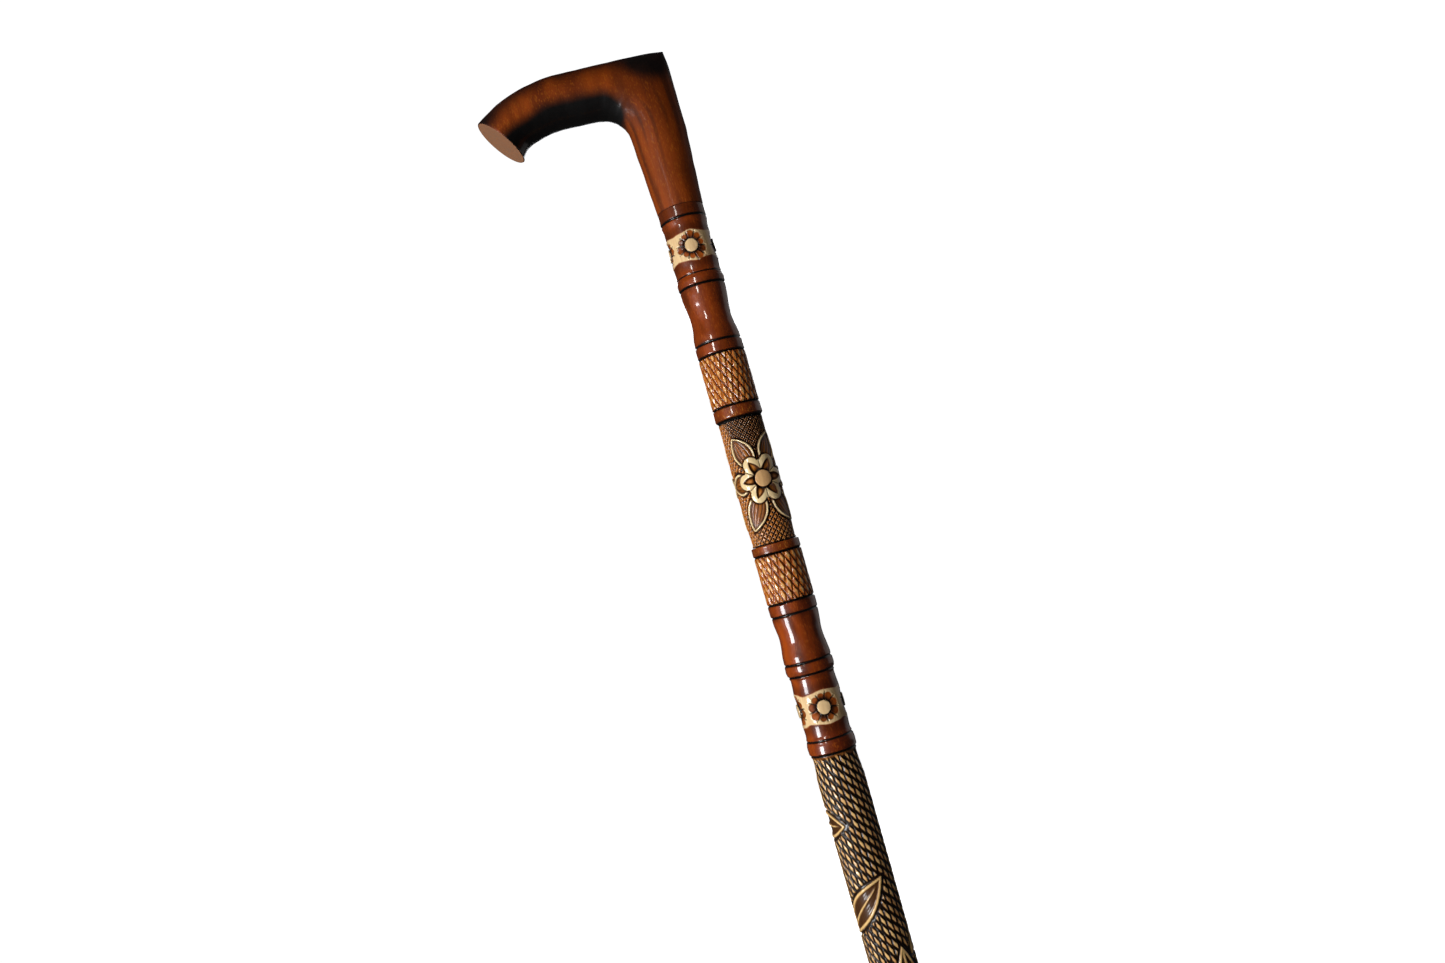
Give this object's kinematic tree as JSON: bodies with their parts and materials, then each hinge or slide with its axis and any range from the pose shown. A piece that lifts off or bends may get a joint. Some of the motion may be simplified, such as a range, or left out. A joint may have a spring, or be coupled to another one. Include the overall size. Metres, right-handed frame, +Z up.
{
  "type": "walking cane",
  "caption": "Single point walking cane: carved and lacquered wooden shaft, L-shaped wooden handle with a down-turned nose, and a pull-off rubber ferrule.",
  "frame": {"origin": "centre of the ferrule's ground face", "axes": "+Z up along the shaft, the handle's arm points towards -X, Y = 0 is the plane of symmetry"},
  "size_m": [0.118, 0.036, 0.9136],
  "materials": {
    "handle_wood": "stained, scorched and gloss lacquered hardwood",
    "shaft_wood": "turned, carved, stained and gloss lacquered hardwood",
    "stud_steel": "zinc plated threaded rod",
    "ferrule_rubber": "matt moulded black rubber",
    "washer_steel": "plain stamped steel"
  },
  "bodies": {
    "cane": {"handle": "handle_wood", "shaft": "shaft_wood", "joining_stud": "stud_steel"},
    "tip": {"ferrule": "ferrule_rubber", "ferrule_washer": "washer_steel"}
  },
  "joints": [
    {"name": "ferrule_pull", "type": "slide", "parent": "cane", "child": "tip", "axis": [0, 0, -1], "range_m": [0, 0.032]}
  ]
}
